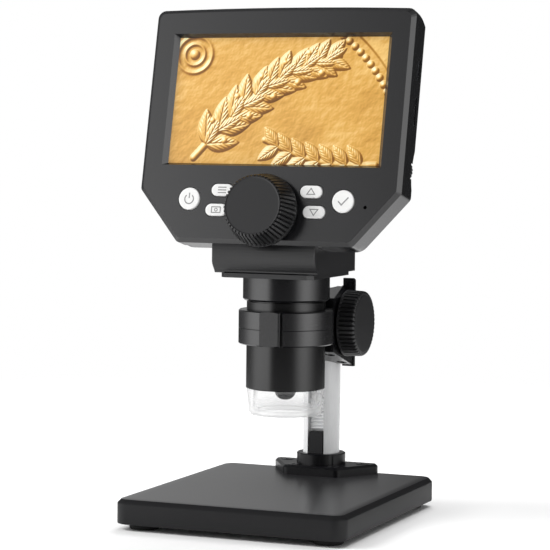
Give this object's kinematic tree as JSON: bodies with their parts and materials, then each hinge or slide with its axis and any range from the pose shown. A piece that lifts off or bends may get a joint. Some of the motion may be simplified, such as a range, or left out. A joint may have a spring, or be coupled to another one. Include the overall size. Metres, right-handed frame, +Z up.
{
  "type": "digital microscope",
  "caption": "Digital microscope on a rack-and-pinion stand: a screen head with buttons and a focus knob over a barrel with a clear light cap, on a flat base plate.",
  "frame": {"origin": "on the table, under the centre of the base plate", "axes": "+X to the user's right, +Y to the back, +Z up"},
  "size_m": [0.1176, 0.1184, 0.2173],
  "materials": {
    "base_black": "black, satin powder coat",
    "carriage_black": "black, satin anodised",
    "barrel_black": "satin moulded",
    "column_alu": "satin drawn tube with a fine grain",
    "steel": "machined",
    "black_screws": "blackened",
    "brass": "machined",
    "rubber": "moulded",
    "head_black": "fine texture",
    "knob_black": "ribbed",
    "screen": "lit picture under a clear front",
    "panel_tray": "light grey tray of the screen's lamp sheet",
    "sheet_steel": "stamped",
    "button_white": "satin moulded",
    "pcb_green": "solder mask",
    "chip_black": "moulded",
    "battery_foil": "foil pouch",
    "clear_plastic": "clear, slightly milky",
    "lens_glass": "coated",
    "lamp": "white light emitting diodes",
    "white_board": "solder mask",
    "gear_white": "moulded acetal"
  },
  "bodies": {
    "stand": {"base_plate": "base_black", "base_feet": "rubber", "column_foot": "carriage_black", "foot_screws": "black_screws", "column": "column_alu", "column_bolt": "steel", "rack": "steel", "rack_screws": "steel"},
    "carriage": {"carriage_upper": "carriage_black", "carriage_lower": "carriage_black", "carriage_screws": "black_screws", "carriage_cover": "carriage_black", "cover_screws": "black_screws"},
    "lift_knobs": {"pinion_shaft": "steel", "pinion": "brass", "lift_knob_right": "knob_black", "lift_knob_left": "knob_black"},
    "microscope": {"front_bezel": "head_black", "rear_housing": "head_black", "housing_screws": "black_screws", "neck_block": "barrel_black", "neck_plate": "barrel_black", "neck_screws": "black_screws", "lcd_panel": "screen", "lcd_frame": "panel_tray", "button_board": "pcb_green", "tact_switches": "sheet_steel", "main_board": "pcb_green", "battery": "battery_foil", "usb_port": "sheet_steel", "card_slot": "sheet_steel", "microphone": "chip_black", "dimmer_pot": "chip_black", "focus_bracket": "chip_black", "barrel_upper": "barrel_black", "barrel_lower": "barrel_black", "sensor_board": "pcb_green", "image_sensor": "chip_black", "lens_guide": "barrel_black", "led_board": "white_board", "leds": "lamp", "clear_cap": "clear_plastic"},
    "lens": {"lens_tube": "barrel_black", "focus_rack": "gear_white", "front_lens": "lens_glass", "rear_lens": "lens_glass"},
    "focus_knob": {"focus_knob": "knob_black", "focus_shaft": "steel", "focus_pinion": "gear_white"},
    "power_button": {"power_button": "button_white"},
    "ok_button": {"ok_button": "button_white"},
    "menu_button": {"menu_button": "button_white"},
    "mode_button": {"mode_button": "button_white"},
    "up_button": {"up_button": "button_white"},
    "down_button": {"down_button": "button_white"},
    "dimmer_wheel": {"dimmer_wheel": "knob_black"}
  },
  "joints": [
    {"name": "carriage_lift", "type": "slide", "parent": "stand", "child": "carriage", "axis": [0, 0, 1], "range_m": [-0.029, 0.008]},
    {"name": "lift_knob_turn", "type": "hinge", "parent": "carriage", "child": "lift_knobs", "pos_m": [0, 0.0387, 0.0814], "axis": [1, 0, 0], "range_deg": [-95, 335]},
    {"name": "microscope_swing", "type": "hinge", "parent": "carriage", "child": "microscope", "pos_m": [0, 0.0046, 0.0818], "axis": [0, 0, 1], "range_deg": [-45, 45]},
    {"name": "lens_slide", "type": "slide", "parent": "microscope", "child": "lens", "axis": [0, 0, 1], "range_m": [-0.005, 0.005]},
    {"name": "focus_turn", "type": "hinge", "parent": "microscope", "child": "focus_knob", "pos_m": [0, -0.02081, 0.13154], "axis": [0, -0.9763, 0.2164], "range_deg": [-95, 95]},
    {"name": "dimmer_turn", "type": "hinge", "parent": "microscope", "child": "dimmer_wheel", "pos_m": [0.05125, -0.00297, 0.1492], "axis": [0, -0.9763, 0.2164], "range_deg": [0, 270]},
    {"name": "power_press", "type": "slide", "parent": "microscope", "child": "power_button", "axis": [0, 0.9763, -0.2164], "range_m": [0, 0.0005], "stiffness_N_per_m": 2500, "springref_m": -0.0002},
    {"name": "ok_press", "type": "slide", "parent": "microscope", "child": "ok_button", "axis": [0, 0.9763, -0.2164], "range_m": [0, 0.0005], "stiffness_N_per_m": 2500, "springref_m": -0.0002},
    {"name": "menu_press", "type": "slide", "parent": "microscope", "child": "menu_button", "axis": [0, 0.9763, -0.2164], "range_m": [0, 0.0005], "stiffness_N_per_m": 2500, "springref_m": -0.0002},
    {"name": "mode_press", "type": "slide", "parent": "microscope", "child": "mode_button", "axis": [0, 0.9763, -0.2164], "range_m": [0, 0.0005], "stiffness_N_per_m": 2500, "springref_m": -0.0002},
    {"name": "up_press", "type": "slide", "parent": "microscope", "child": "up_button", "axis": [0, 0.9763, -0.2164], "range_m": [0, 0.0005], "stiffness_N_per_m": 2500, "springref_m": -0.0002},
    {"name": "down_press", "type": "slide", "parent": "microscope", "child": "down_button", "axis": [0, 0.9763, -0.2164], "range_m": [0, 0.0005], "stiffness_N_per_m": 2500, "springref_m": -0.0002}
  ],
  "couplings": [
    {"joint": "lift_knob_turn", "follows": "carriage_lift", "rad_per_m": -200},
    {"joint": "focus_turn", "follows": "lens_slide", "rad_per_m": 325.43}
  ]
}
